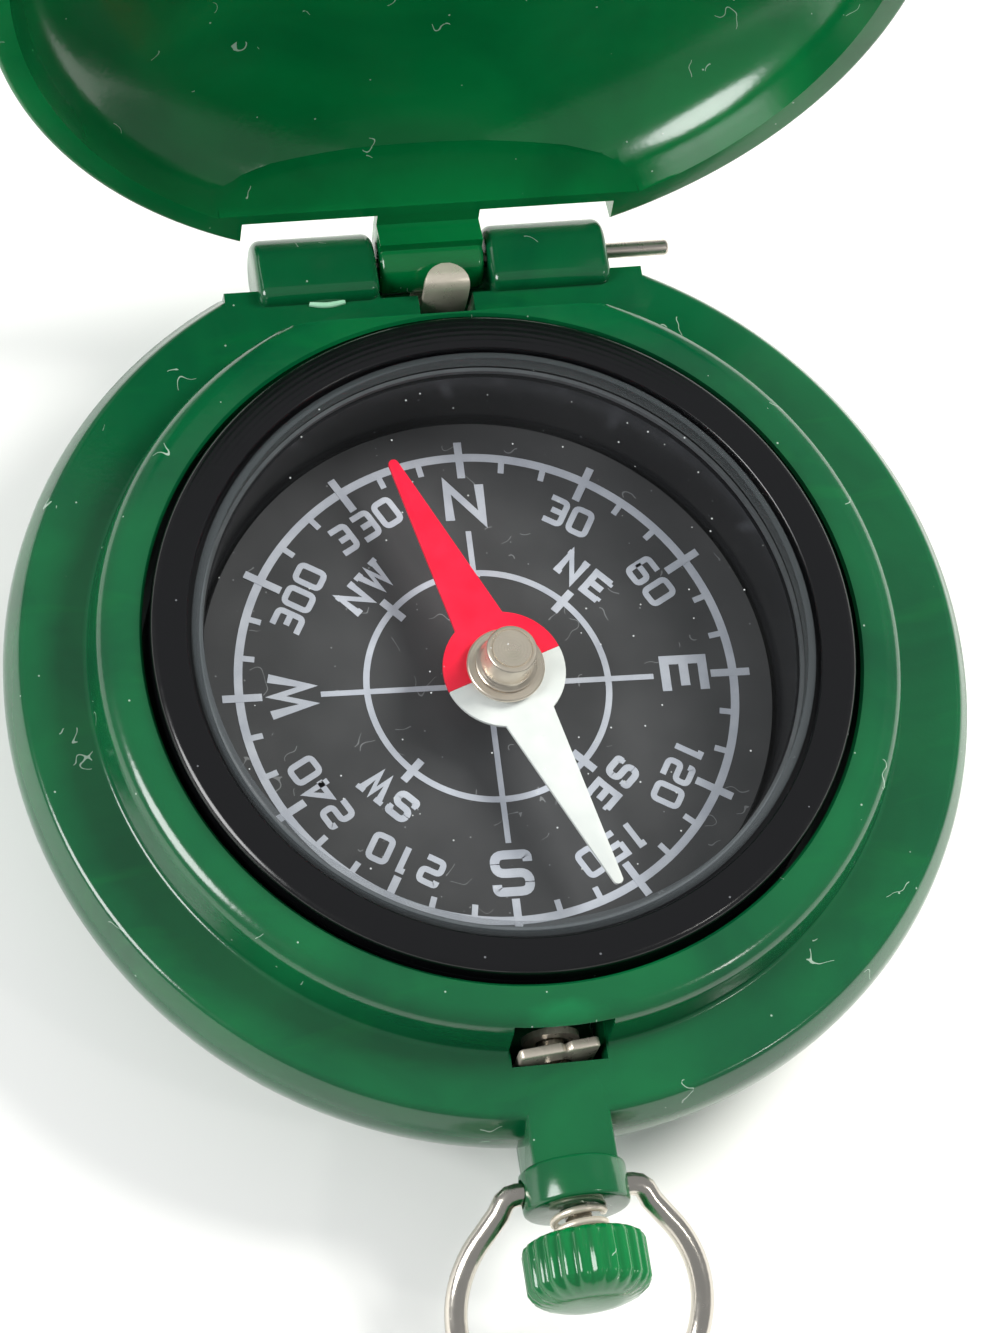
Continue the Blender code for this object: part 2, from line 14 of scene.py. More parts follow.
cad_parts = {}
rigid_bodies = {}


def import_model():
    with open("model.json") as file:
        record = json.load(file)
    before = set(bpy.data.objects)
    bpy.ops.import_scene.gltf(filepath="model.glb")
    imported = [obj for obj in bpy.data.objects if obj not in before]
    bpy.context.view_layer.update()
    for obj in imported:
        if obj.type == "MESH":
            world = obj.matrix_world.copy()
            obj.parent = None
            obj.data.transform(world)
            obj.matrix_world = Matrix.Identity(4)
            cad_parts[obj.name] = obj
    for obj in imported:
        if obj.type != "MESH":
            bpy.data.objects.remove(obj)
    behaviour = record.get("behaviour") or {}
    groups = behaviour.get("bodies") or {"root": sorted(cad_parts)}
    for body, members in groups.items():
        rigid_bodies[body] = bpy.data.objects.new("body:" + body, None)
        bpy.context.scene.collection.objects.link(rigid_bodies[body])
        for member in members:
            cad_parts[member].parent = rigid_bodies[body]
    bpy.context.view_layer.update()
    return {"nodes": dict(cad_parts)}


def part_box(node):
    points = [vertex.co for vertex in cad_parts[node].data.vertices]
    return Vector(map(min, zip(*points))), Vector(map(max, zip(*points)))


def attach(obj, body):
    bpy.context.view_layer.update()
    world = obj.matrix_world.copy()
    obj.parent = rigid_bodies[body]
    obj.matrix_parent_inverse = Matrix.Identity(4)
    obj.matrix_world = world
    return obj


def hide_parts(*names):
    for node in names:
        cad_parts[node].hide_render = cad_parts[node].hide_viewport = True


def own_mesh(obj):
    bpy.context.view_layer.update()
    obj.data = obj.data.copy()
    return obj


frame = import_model()


def node_box(name):
    """A CAD node's low and high corner, in millimetres."""
    low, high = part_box(name)
    return low * 1000, high * 1000


# ---- sizes taken from the frame, in millimetres -------------------------------------
CASE_HIGH = node_box("case_body")[1]
BULGE_R = CASE_HIGH.x
CASE_R = BULGE_R - 0.5
COLLAR_Z = CASE_HIGH.z
FLANGE_Z = COLLAR_Z - 3.1
COLLAR_R = 21.45
BORE_R = 18.75
BEZEL_HIGH = node_box("bezel_ring")[1]
BEZEL_R = BEZEL_HIGH.x
BEZEL_Z = BEZEL_HIGH.z
CRYSTAL_LOW, CRYSTAL_HIGH = node_box("crystal")
CRYSTAL_R = CRYSTAL_HIGH.x
CUP_LOW, CUP_HIGH = node_box("capsule_cup")
WELL_R = 15.5
DIAL_Z = node_box("dial")[1].z
DIAL_R = node_box("dial")[1].x
PIN_LOW, PIN_HIGH = node_box("hinge_pin")
HINGE_Y = (PIN_LOW.y + PIN_HIGH.y) / 2
HINGE_Z = (PIN_LOW.z + PIN_HIGH.z) / 2
BARREL_R = 1.78
BARREL_IN = 3.05
BARREL_OUT = 9.6
LID_BARREL_R = 1.6
LID_OPEN_DEG = 103.0
RIM_Z = 9.45                    # the shut lid's edge, just over the flange
CHORD_Y = 21.15
STEM_LOW, STEM_HIGH = node_box("button_stem")
STEM_Z = (STEM_LOW.z + STEM_HIGH.z) / 2
BOSS_Y = -27.1
BOSS_END_Y = -29.3
BOW_Y = -28.2
BOW_DROOP_DEG = 32.0
KNOB_HIGH = node_box("push_button")[1]
KNOB_R = KNOB_HIGH.x
PIVOT = Vector((0.45, -0.2, 0.0))
NEEDLE_Z = node_box("needle")[0].z
NEEDLE_DEG = 18.8
PRINT_TURN_DEG = -1.7           # the card sits a little clockwise in the case
SCALE_R = 13.2
INNER_RING_R = 6.45
COIL_R = 1.3
COIL_TURNS = 4.5
COIL_LENGTH = 3.0

TO_METRES = Matrix.Scale(0.001, 4)
FINE = 192

WORK = bpy.data.collections.new("working_shapes")
SHOW = bpy.data.collections.new("sighting_compass")
for group in (WORK, SHOW):
    bpy.context.scene.collection.children.link(group)


# ---- working shapes -----------------------------------------------------------------
def hold(name, mesh):
    obj = bpy.data.objects.new(name, mesh)
    WORK.objects.link(obj)
    return obj


def from_work(name, work):
    bmesh.ops.recalc_face_normals(work, faces=work.faces)
    mesh = bpy.data.meshes.new(name)
    work.to_mesh(mesh)
    work.free()
    return hold(name, mesh)


def arc(cx, cy, radius, start, end, count):
    """Points on an arc, angles in degrees."""
    turns = [math.radians(start + (end - start) * i / (count - 1)) for i in range(count)]
    return [(cx + radius * math.cos(t), cy + radius * math.sin(t)) for t in turns]


def turned(name, profile, closed=True, steps=FINE):
    """Turn (radius, height) points, running down the outer side, about Z."""
    mesh = bpy.data.meshes.new(name)
    edges = [(i, i + 1) for i in range(len(profile) - 1)]
    if closed:
        edges.append((len(profile) - 1, 0))
    mesh.from_pydata([(r, 0.0, z) for r, z in profile], edges, [])
    obj = hold(name, mesh)
    screw = obj.modifiers.new("turn", 'SCREW')
    screw.axis = 'Z'
    screw.angle = math.tau
    screw.steps = steps
    screw.render_steps = steps
    screw.use_merge_vertices = True
    screw.merge_threshold = 0.0001
    return obj


def box(name, low, high):
    work = bmesh.new()
    bmesh.ops.create_cube(work, size=1.0)
    size = [b - a for a, b in zip(low, high)]
    middle = [(a + b) / 2 for a, b in zip(low, high)]
    place = Matrix.Translation(middle) @ Matrix.Diagonal((*size, 1.0))
    bmesh.ops.transform(work, matrix=place, verts=work.verts)
    return from_work(name, work)


def rod(name, radius, start, end):
    start, end = Vector(start), Vector(end)
    along = end - start
    work = bmesh.new()
    bmesh.ops.create_cone(work, cap_ends=True, segments=64, radius1=radius, radius2=radius,
                          depth=along.length)
    turn = along.to_track_quat('Z', 'Y').to_matrix().to_4x4()
    place = Matrix.Translation((start + end) / 2) @ turn
    bmesh.ops.transform(work, matrix=place, verts=work.verts)
    return from_work(name, work)


AXES = {'X': Matrix(((0, 0, 1, 0), (1, 0, 0, 0), (0, 1, 0, 0), (0, 0, 0, 1))),
        'Y': Matrix(((1, 0, 0, 0), (0, 0, 1, 0), (0, 1, 0, 0), (0, 0, 0, 1))),
        'Z': Matrix.Identity(4)}


def plate(name, outline, low, high, axis='Z'):
    """A flat outline given depth along the named axis."""
    work = bmesh.new()
    face = work.faces.new([work.verts.new((a, b, low)) for a, b in outline])
    grown = bmesh.ops.extrude_face_region(work, geom=[face])
    moved = [item for item in grown["geom"] if isinstance(item, bmesh.types.BMVert)]
    bmesh.ops.translate(work, verts=moved, vec=(0, 0, high - low))
    bmesh.ops.transform(work, matrix=AXES[axis], verts=work.verts)
    return from_work(name, work)


def wire(name, points, radius, resolution=6):
    data = bpy.data.curves.new(name, 'CURVE')
    data.dimensions = '3D'
    data.bevel_depth = radius
    data.bevel_resolution = resolution
    data.use_fill_caps = True
    line = data.splines.new('POLY')
    line.points.add(len(points) - 1)
    for spot, point in zip(line.points, points):
        spot.co = (*point, 1.0)
    obj = bpy.data.objects.new(name, data)
    WORK.objects.link(obj)
    return obj


def ease(obj, width, segments=3, angle=40.0):
    """Round every edge sharper than the angle."""
    bevel = obj.modifiers.new("ease", 'BEVEL')
    bevel.width = width
    bevel.segments = segments
    bevel.limit_method = 'ANGLE'
    bevel.angle_limit = math.radians(angle)
    return obj


def boolean(obj, others, operation):
    for other in others:
        step = obj.modifiers.new("shape", 'BOOLEAN')
        step.operation = operation
        step.object = other
        step.solver = 'EXACT'
    return obj


def cut(obj, *others):
    return boolean(obj, others, 'DIFFERENCE')


def join(obj, *others):
    return boolean(obj, others, 'UNION')


def finished(obj, name, look, body, stands_for=(), place=Matrix.Identity(4), angle=35):
    """Evaluate a working shape and make it a finished piece of the object."""
    bpy.context.view_layer.update()
    view = obj.evaluated_get(bpy.context.evaluated_depsgraph_get())
    mesh = bpy.data.meshes.new_from_object(view)
    mesh.name = name
    mesh.transform(TO_METRES @ place @ obj.matrix_world)
    mesh.shade_smooth()
    mesh.set_sharp_from_angle(angle=math.radians(angle))
    mesh.materials.clear()
    mesh.materials.append(look)
    for face in mesh.polygons:
        face.material_index = 0
    piece = bpy.data.objects.new(name, mesh)
    SHOW.objects.link(piece)
    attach(piece, body)
    if stands_for:
        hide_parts(*stands_for)
    return piece


def about(point, axis, degrees):
    """A turn about an axis through a point."""
    there = Matrix.Translation(point)
    return there @ Matrix.Rotation(math.radians(degrees), 4, axis) @ there.inverted()


OPENED = about((0, HINGE_Y, HINGE_Z), 'X', -LID_OPEN_DEG)
SWUNG = Matrix.Translation(PIVOT) @ Matrix.Rotation(math.radians(NEEDLE_DEG), 4, 'Z')
DROOPED = about((0, BOW_Y, STEM_Z), 'X', BOW_DROOP_DEG)


# ---- materials ----------------------------------------------------------------------
def colour(code):
    """A six-digit sRGB colour as linear RGBA."""
    parts = [int(code[i:i + 2], 16) / 255 for i in (0, 2, 4)]
    light = [c / 12.92 if c <= 0.04045 else ((c + 0.055) / 1.055) ** 2.4 for c in parts]
    return (*light, 1.0)


def add(tree, kind, inputs, **settings):
    """Add a node, set its properties, then link or set its inputs by name or number."""
    node = tree.nodes.new(kind)
    for key, value in settings.items():
        setattr(node, key, value)
    for key, value in inputs.items():
        if isinstance(value, bpy.types.NodeSocket):
            tree.links.new(value, node.inputs[key])
        else:
            node.inputs[key].default_value = value
    return node


def new_look(name, base, roughness, **extra):
    look = bpy.data.materials.new(name)
    look.use_nodes = True
    tree = look.node_tree
    shader = tree.nodes["Principled BSDF"]
    shader.inputs["Base Color"].default_value = colour(base)
    shader.inputs["Roughness"].default_value = roughness
    for key, value in extra.items():
        shader.inputs[key.replace("_", " ")].default_value = value
    return look, tree, shader


def in_mm(tree):
    """Object coordinates in millimetres."""
    place = add(tree, 'ShaderNodeTexCoord', {})
    return add(tree, 'ShaderNodeVectorMath', {0: place.outputs["Object"], "Scale": 1000.0},
               operation='SCALE').outputs[0]


def noise(tree, mm, size, detail=3.0, distortion=0.0):
    """Noise whose features are about this many millimetres across."""
    return add(tree, 'ShaderNodeTexNoise', {
        "Vector": mm, "Scale": 1.0 / size, "Detail": detail,
        "Distortion": distortion}).outputs["Fac"]


def spread(tree, value, low, high, out_low=0.0, out_high=1.0):
    return add(tree, 'ShaderNodeMapRange', {
        "Value": value, "From Min": low, "From Max": high, "To Min": out_low,
        "To Max": out_high}).outputs[0]


def blend_colours(tree, amount, first, second):
    return add(tree, 'ShaderNodeMix', {0: amount, 6: first, 7: second},
               data_type='RGBA').outputs[2]


def maths(tree, operation, first, second=0.0):
    return add(tree, 'ShaderNodeMath', {0: first, 1: second}, operation=operation).outputs[0]


def radius_of(tree, mm, centre=(0.0, 0.0, 0.0)):
    """Distance from a vertical axis, in millimetres."""
    moved = add(tree, 'ShaderNodeVectorMath', {0: mm, 1: centre}, operation='SUBTRACT')
    flat = add(tree, 'ShaderNodeVectorMath', {0: moved.outputs[0], 1: (1.0, 1.0, 0.0)},
               operation='MULTIPLY')
    return add(tree, 'ShaderNodeVectorMath', {0: flat.outputs[0]},
               operation='LENGTH').outputs["Value"]


def dust(tree, mm, spacing, share, size=0.12):
    """Mask of scattered specks: one cell in so many holds a speck of dust."""
    cells = add(tree, 'ShaderNodeTexVoronoi', {"Vector": mm, "Scale": 1.0 / spacing})
    near = maths(tree, 'LESS_THAN', cells.outputs["Distance"], size / spacing)
    pick = add(tree, 'ShaderNodeSeparateColor', {0: cells.outputs["Color"]}).outputs[0]
    return maths(tree, 'MULTIPLY', near, maths(tree, 'LESS_THAN', pick, share))


def fibres(tree, mm, spacing, share, size=0.05):
    """Mask of short curled threads: thin bands of warped noise, kept in one cell of several."""
    warp = noise(tree, mm, 1.7, 1.0)
    line = maths(tree, 'ABSOLUTE', maths(tree, 'SUBTRACT', warp, 0.5))
    thin = maths(tree, 'LESS_THAN', line, size * 0.12)
    cells = add(tree, 'ShaderNodeTexVoronoi', {"Vector": mm, "Scale": 1.0 / spacing})
    pick = add(tree, 'ShaderNodeSeparateColor', {0: cells.outputs["Color"]}).outputs[1]
    return maths(tree, 'MULTIPLY', thin, maths(tree, 'LESS_THAN', pick, share))


def bump(tree, shader, height, strength, depth_mm):
    made = add(tree, 'ShaderNodeBump', {"Height": height, "Strength": strength,
                                        "Distance": depth_mm * 0.001})
    tree.links.new(made.outputs[0], shader.inputs["Normal"])


def moulded_green(name, deep, pale, glow_painted_on=False):
    """Glossy green polystyrene with a little light passing through it; the glow spot is painted light."""
    look, tree, shader = new_look(
        name, "035426", 0.24, IOR=1.53, Subsurface_Weight=0.12, Subsurface_Scale=0.001,
        Coat_Weight=0.12, Coat_Roughness=0.12)
    shader.inputs["Subsurface Radius"].default_value = (0.25, 1.0, 0.45)
    mm = in_mm(tree)
    cloud = spread(tree, noise(tree, mm, 9.0, 4.0, 0.6), 0.3, 0.7)
    base = blend_colours(tree, cloud, colour(deep), colour(pale))
    streak = add(tree, 'ShaderNodeVectorMath', {0: mm, 1: (0.25, 1.0, 1.0)}, operation='MULTIPLY')
    flow = spread(tree, noise(tree, streak.outputs[0], 3.0, 3.0, 1.5), 0.58, 0.72, 0.0, 0.25)
    base = blend_colours(tree, flow, base, colour("08632F"))
    if glow_painted_on:
        # Painted glow: a lighter green spot over the latch window stands in for light shining through the
        # thin collar wall there.
        seat = add(tree, 'ShaderNodeVectorMath', {0: mm, 1: (0.0, -20.55, 12.4)},
                   operation='SUBTRACT')
        oval = add(tree, 'ShaderNodeVectorMath', {0: seat.outputs[0], 1: (0.42, 0.95, 0.9)},
                   operation='MULTIPLY')
        reach = add(tree, 'ShaderNodeVectorMath', {0: oval.outputs[0]}, operation='LENGTH')
        wobble = spread(tree, noise(tree, mm, 0.9, 2.0), 0.0, 1.0, -0.2, 0.2)
        near = maths(tree, 'ADD', reach.outputs["Value"], wobble)
        painted_glow = spread(tree, near, 0.5, 1.0, 0.35, 0.0)
        base = blend_colours(tree, painted_glow, base, colour("0B7A45"))
    specks = maths(tree, 'MAXIMUM', dust(tree, mm, 1.0, 0.35, 0.055), fibres(tree, mm, 1.1, 0.03))
    base = blend_colours(tree, maths(tree, 'MULTIPLY', specks, 0.55), base, colour("B9CDBE"))
    tree.links.new(base, shader.inputs["Base Color"])
    rough = spread(tree, noise(tree, mm, 1.6, 5.0), 0.35, 0.7, 0.15, 0.2)
    tree.links.new(rough, shader.inputs["Roughness"])
    grain = maths(tree, 'ADD', noise(tree, mm, 0.35, 3.0), noise(tree, mm, 5.0, 2.0))
    bump(tree, shader, grain, 0.35, 0.02)
    return look


def turned_black(name, code, roughness, pitch=0.0):
    """Black plastic, with the fine rings that a lathe tool leaves where a pitch is given."""
    look, tree, shader = new_look(name, code, roughness, IOR=1.5)
    mm = in_mm(tree)
    if pitch:
        wave = maths(tree, 'MULTIPLY', radius_of(tree, mm), math.tau / pitch)
        ring = maths(tree, 'MULTIPLY', maths(tree, 'SINE', wave), noise(tree, mm, 2.2, 3.0))
        bump(tree, shader, ring, 0.4, 0.012)
    specks = dust(tree, mm, 1.0, 0.3, 0.06)
    base = blend_colours(tree, maths(tree, 'MULTIPLY', specks, 0.4), colour(code),
                         colour("8A8D92"))
    tree.links.new(base, shader.inputs["Base Color"])
    rough = spread(tree, noise(tree, mm, 1.2, 4.0), 0.3, 0.7, roughness * 0.8, roughness * 1.25)
    tree.links.new(rough, shader.inputs["Roughness"])
    return look


def clear_sheet(name):
    """Clear acrylic: light goes straight through, and the surface shines by Fresnel."""
    look = bpy.data.materials.new(name)
    look.use_nodes = True
    tree = look.node_tree
    tree.nodes.clear()
    mm = in_mm(tree)
    fine = dust(tree, mm, 0.9, 0.35, 0.05)
    clear = add(tree, 'ShaderNodeBsdfTransparent', {"Color": colour("F7F7F6")})
    film = add(tree, 'ShaderNodeBsdfDiffuse', {"Color": colour("DDE2E4")})
    haze = maths(tree, 'ADD', maths(tree, 'MULTIPLY', fine, 0.5),
                 spread(tree, noise(tree, mm, 12.0, 2.0), 0.3, 0.8, 0.0, 0.004))
    body = add(tree, 'ShaderNodeMixShader', {0: haze, 1: clear.outputs[0], 2: film.outputs[0]})
    gloss = add(tree, 'ShaderNodeBsdfGlossy', {"Roughness": 0.03})
    edge = add(tree, 'ShaderNodeFresnel', {"IOR": 1.49})
    inner = add(tree, 'ShaderNodeNewGeometry', {}).outputs["Backfacing"]
    front = maths(tree, 'SUBTRACT', 0.4, inner)
    share = maths(tree, 'MULTIPLY', edge.outputs[0], maths(tree, 'MAXIMUM', front, 0.0))
    shine = add(tree, 'ShaderNodeMixShader', {0: share, 1: body.outputs[0],
                                              2: gloss.outputs[0]})
    add(tree, 'ShaderNodeOutputMaterial', {0: shine.outputs[0]})
    return look


def cut_edge(name):
    """The crystal's turned edge, milky beside its clear face."""
    look, tree, shader = new_look(name, "6B7276", 0.3, IOR=1.49)
    mm = in_mm(tree)
    shader.inputs["Alpha"].default_value = 0.2
    rough = spread(tree, noise(tree, mm, 0.5, 3.0), 0.3, 0.7, 0.22, 0.42)
    tree.links.new(rough, shader.inputs["Roughness"])
    return look


def card_black(name):
    look, tree, shader = new_look(name, "404144", 0.5)
    mm = in_mm(tree)
    lint = maths(tree, 'MAXIMUM', dust(tree, mm, 0.8, 0.35, 0.05), fibres(tree, mm, 1.3, 0.1))
    mottled = blend_colours(tree, spread(tree, noise(tree, mm, 4.0, 5.0), 0.3, 0.7),
                            colour("424346"), colour("4E4F52"))
    base = blend_colours(tree, maths(tree, 'MULTIPLY', lint, 0.5), mottled, colour("A3A7AC"))
    tree.links.new(base, shader.inputs["Base Color"])
    bump(tree, shader, noise(tree, mm, 0.08, 2.0), 0.2, 0.01)
    return look


def paint(name, code, other, roughness=0.42):
    look, tree, shader = new_look(name, code, roughness)
    mm = in_mm(tree)
    tone = spread(tree, noise(tree, mm, 1.4, 4.0), 0.3, 0.7)
    tree.links.new(blend_colours(tree, tone, colour(code), colour(other)),
                   shader.inputs["Base Color"])
    bump(tree, shader, noise(tree, mm, 0.2, 3.0), 0.25, 0.01)
    return look


def metal(name, code, roughness, axis=None, pitch=0.09, centre=(0.0, 0.0, 0.0), bright=1.0):
    """Bright metal, with turning rings about a centre or a drawn grain along an axis."""
    look, tree, shader = new_look(name, code, roughness, Metallic=bright)
    mm = in_mm(tree)
    if axis == 'turned':
        wave = maths(tree, 'MULTIPLY', radius_of(tree, mm, centre), math.tau / pitch)
        lines = maths(tree, 'SINE', wave)
    else:
        stretch = {'X': (0.06, 1.0, 1.0), 'Y': (1.0, 0.06, 1.0)}.get(axis, (1.0, 1.0, 1.0))
        pulled = add(tree, 'ShaderNodeVectorMath', {0: mm, 1: stretch}, operation='MULTIPLY')
        lines = noise(tree, pulled.outputs[0], pitch, 3.0)
    bump(tree, shader, lines, 0.35, 0.008)
    tone = spread(tree, noise(tree, mm, 0.8, 4.0), 0.3, 0.7, roughness * 0.7, roughness * 1.4)
    tree.links.new(tone, shader.inputs["Roughness"])
    return look


# Green polystyrene, injection moulded: glossy with faint flow clouds; on the case a painted glow stands in
# for light through the thin wall over the latch window.
CASE_GREEN = moulded_green("moulded green polystyrene, case", "034427", "075830",
                           glow_painted_on=True)
# The lid's copy of the same green is painted brighter and more saturated, standing in for light shining
# through the thin lid; the back cover and button use it too.
BRIGHTER_LIT_GREEN = moulded_green("moulded green polystyrene, lid", "01562A", "026C35")
# Acetal off the lathe: satin black with fine rings; the cup's wall is polished after turning.
BEZEL_BLACK = turned_black("lathe-turned black acetal", "08080A", 0.2, 0.3)
CUP_BLACK = turned_black("polished black cup wall", "1E1F22", 0.2)
# Cast acrylic: the face is polished and clear, and its cut edge stays milky.
CLEAR = clear_sheet("clear cast acrylic")
EDGE = cut_edge("satin turned acrylic edge")
SEAL = paint("grey silicone seal", "4A4E52", "565A5E", 0.5)
# Printed card: a matt ground that shows lint, with slightly raised screen ink.
CARD = card_black("matt black printed card")
INK = paint("pale grey screen ink", "C9CFDC", "B6BCCB", 0.55)
# Brushed lacquer on steel: nearly flat colour with a soft sheen.
RED = paint("fluorescent red lacquer", "FF2446", "F5163A")
WHITE = paint("white lacquer", "E9EEEE", "DCE2E3")
# Metals: turned parts keep rings about their axis, drawn wire keeps a grain along it.
NICKEL = metal("turned nickel plate", "EADFD0", 0.34, 'turned', 0.16, tuple(PIVOT), 0.75)
DRAWN = metal("drawn steel wire", "C3BAB0", 0.28, 'X')
BLANKED = metal("blanked spring steel", "E2D8C8", 0.32, bright=0.6)
BOW_STEEL = metal("nickelled steel bow", "CCC6BC", 0.2, 'Y')
BRASS = metal("turned brass", "C9A55C", 0.25, 'turned', 0.1)
JEWEL = paint("polished ruby jewel", "8E1030", "A0163A", 0.08)


# ---- case ---------------------------------------------------------------------------
def case_profile():
    top = [(BORE_R, COLLAR_Z - 0.15), (BORE_R + 0.15, COLLAR_Z)]
    shoulder = arc(COLLAR_R - 1.5, COLLAR_Z - 1.2, 1.2, 90, 6, 12)
    foot = arc(COLLAR_R + 0.15, FLANGE_Z + 0.3, 0.3, 185, 270, 5)
    edge = arc(CASE_R - 0.55, FLANGE_Z - 0.5, 0.5, 90, 18, 7)
    side = [(BULGE_R - 0.17, 8.3), (BULGE_R - 0.04, 7.75), (BULGE_R, 7.2), (BULGE_R - 0.06, 6.5),
            (25.2, 5.6), (24.78, 4.65), (24.2, 3.7), (23.5, 2.75), (22.7, 1.9), (22.05, 1.25),
            (21.3, 0.7), (20.9, 0.42), (20.25, 0.42)]
    inside = [(20.25, 2.1), (21.6, 3.0), (23.3, 5.2), (23.9, 7.2), (23.5, 7.8), (20.25, 7.8),
              (20.25, 3.5), (17.2, 3.5), (17.2, 4.1), (BORE_R, 4.1)]
    return top + shoulder + foot + edge + side + inside


def barrel_outline():
    back = arc(HINGE_Y, HINGE_Z, BARREL_R, -90, 90, 22)
    front = arc(HINGE_Y - 1.7, HINGE_Z + BARREL_R - 0.75, 0.75, 90, 180, 8)
    return back + front + [(HINGE_Y - 2.45, FLANGE_Z - 0.6), (HINGE_Y - 2.45, 6.9)]


def make_case():
    case = turned("case", case_profile())
    join(case, box("hinge_block", (-11.4, 20.1, 4.2), (11.4, 22.7, FLANGE_Z)))
    cut(case, box("hinge_gap", (-11.8, 22.5, 5.6), (11.8, 27, 10.5)),
        box("collar_chord", (-13, 19.0, FLANGE_Z), (13, 25, 14)))
    for side in (-1, 1):
        ends = sorted((side * BARREL_IN, side * BARREL_OUT))
        join(case, ease(plate("barrel", barrel_outline(), *ends, axis='X'), 0.5, 4, 30))
    cut(case, box("lid_slot", (-BARREL_IN, 21.6, 5.9), (BARREL_IN, 28, 12)),
        box("spring_slot", (-1.0, 20.5, 5.9), (2.0, 22, 12)),
        rod("pin_hole", 0.55, (-9.0, HINGE_Y, HINGE_Z), (12, HINGE_Y, HINGE_Z)))
    join(case, ease(box("neck", (-2.2, BOSS_Y - 0.3, 5.4), (2.2, -23.2, FLANGE_Z)), 0.25),
         ease(rod("boss", 2.75, (0, BOSS_Y, STEM_Z), (0, BOSS_END_Y, STEM_Z)), 0.25))
    cut(case, box("latch_window", (-2.6, -22.1, FLANGE_Z), (2.6, -19.5, COLLAR_Z - 0.5)),
        box("latch_well", (-2.5, -22.0, 6.1), (2.5, -18.2, 9.5)),
        rod("stem_bore", 0.95, (0, -19.5, STEM_Z), (0, -31, STEM_Z)))
    for side in (-1, 1):
        cut(case, rod("bow_hole", 0.75, (side * 1.35, BOW_Y, STEM_Z), (side * 4, BOW_Y, STEM_Z)))
    ease(case, 0.1, 2, 50)
    finished(case, "case_moulding", CASE_GREEN, "case", ["case_body"])


def make_flash():
    """A sliver of moulding flash at the foot of the left barrel, whitened by handling."""
    points = [(-6.9 + 1.9 * t / 8, 21.56 - 0.16 * math.sin(math.pi * t / 8), FLANGE_Z + 0.03)
              for t in range(9)]
    sliver = wire("flash", points, 0.16, 3)
    look = paint("stress-whitened flash", "A9D6BA", "8CC4A2", 0.35)
    finished(sliver, "moulding_flash", look, "case")


def make_back_cover():
    groove = [(14.2, 0.0), (14.0, 0.25), (13.6, 0.25), (13.4, 0.0)]
    cover = turned("back", [
        (0.0, 1.4), (18.2, 1.4), (18.2, 3.1), (19.4, 3.1), (19.4, 1.9), (19.95, 1.9),
        (19.95, 0.35), (19.8, 0.12), (19.5, 0.0)] + groove + [(0.0, 0.0)], closed=False)
    finished(cover, "back_cover_turned", BRIGHTER_LIT_GREEN, "case", ["back_cover"])


# ---- capsule ------------------------------------------------------------------------
def make_capsule():
    cup = turned("cup", [
        (0.0, CUP_LOW.z + 1.5), (WELL_R - 0.2, CUP_LOW.z + 1.5), (WELL_R, CUP_LOW.z + 1.7),
        (WELL_R, CUP_HIGH.z), (CUP_HIGH.x, CUP_HIGH.z), (CUP_HIGH.x, CUP_LOW.z),
        (0.0, CUP_LOW.z)], closed=False)
    finished(cup, "cup", CUP_BLACK, "case", ["capsule_cup"])

    edge = arc(BEZEL_R - 0.4, BEZEL_Z - 0.4, 0.4, 90, 0, 8)
    lip = arc(CRYSTAL_R + 0.4, BEZEL_Z - 0.15, 0.15, 180, 90, 5)
    ring = lip + edge + [(BEZEL_R, 11.9), (CRYSTAL_R - 0.35, 11.9), (CRYSTAL_R - 0.35, 12.15),
                         (CRYSTAL_R + 0.25, 12.15)]
    finished(turned("bezel", ring), "bezel", BEZEL_BLACK, "case",
             ["bezel_ring"])

    seal = turned("seal", [(15.6, 12.15), (15.8, 12.15), (15.8, 11.85), (15.6, 11.85)])
    finished(seal, "seal", SEAL, "case", ["crystal_seal"])

    top = CRYSTAL_HIGH.z
    inner = CRYSTAL_R - 0.5
    face = turned("crystal_face", [(0.0, top), (inner, top), (inner, CRYSTAL_LOW.z + 0.02),
                                   (0.0, CRYSTAL_LOW.z + 0.02)], closed=False)
    finished(face, "crystal_face", CLEAR, "case", ["crystal"])
    foot = CRYSTAL_LOW.z + 0.02
    rounding = arc(inner + 0.05, top - 0.45, 0.44, 88, 0, 6)
    rim = turned("crystal_rim", [(inner + 0.01, top)] + rounding
                 + [(CRYSTAL_R - 0.01, foot), (inner + 0.01, foot)])
    finished(rim, "crystal_rim", EDGE, "case")

    card = turned("card", [(1.8, DIAL_Z), (DIAL_R, DIAL_Z), (DIAL_R, 6.15), (1.8, 6.15)])
    finished(card, "dial_face", CARD, "case", ["dial"])
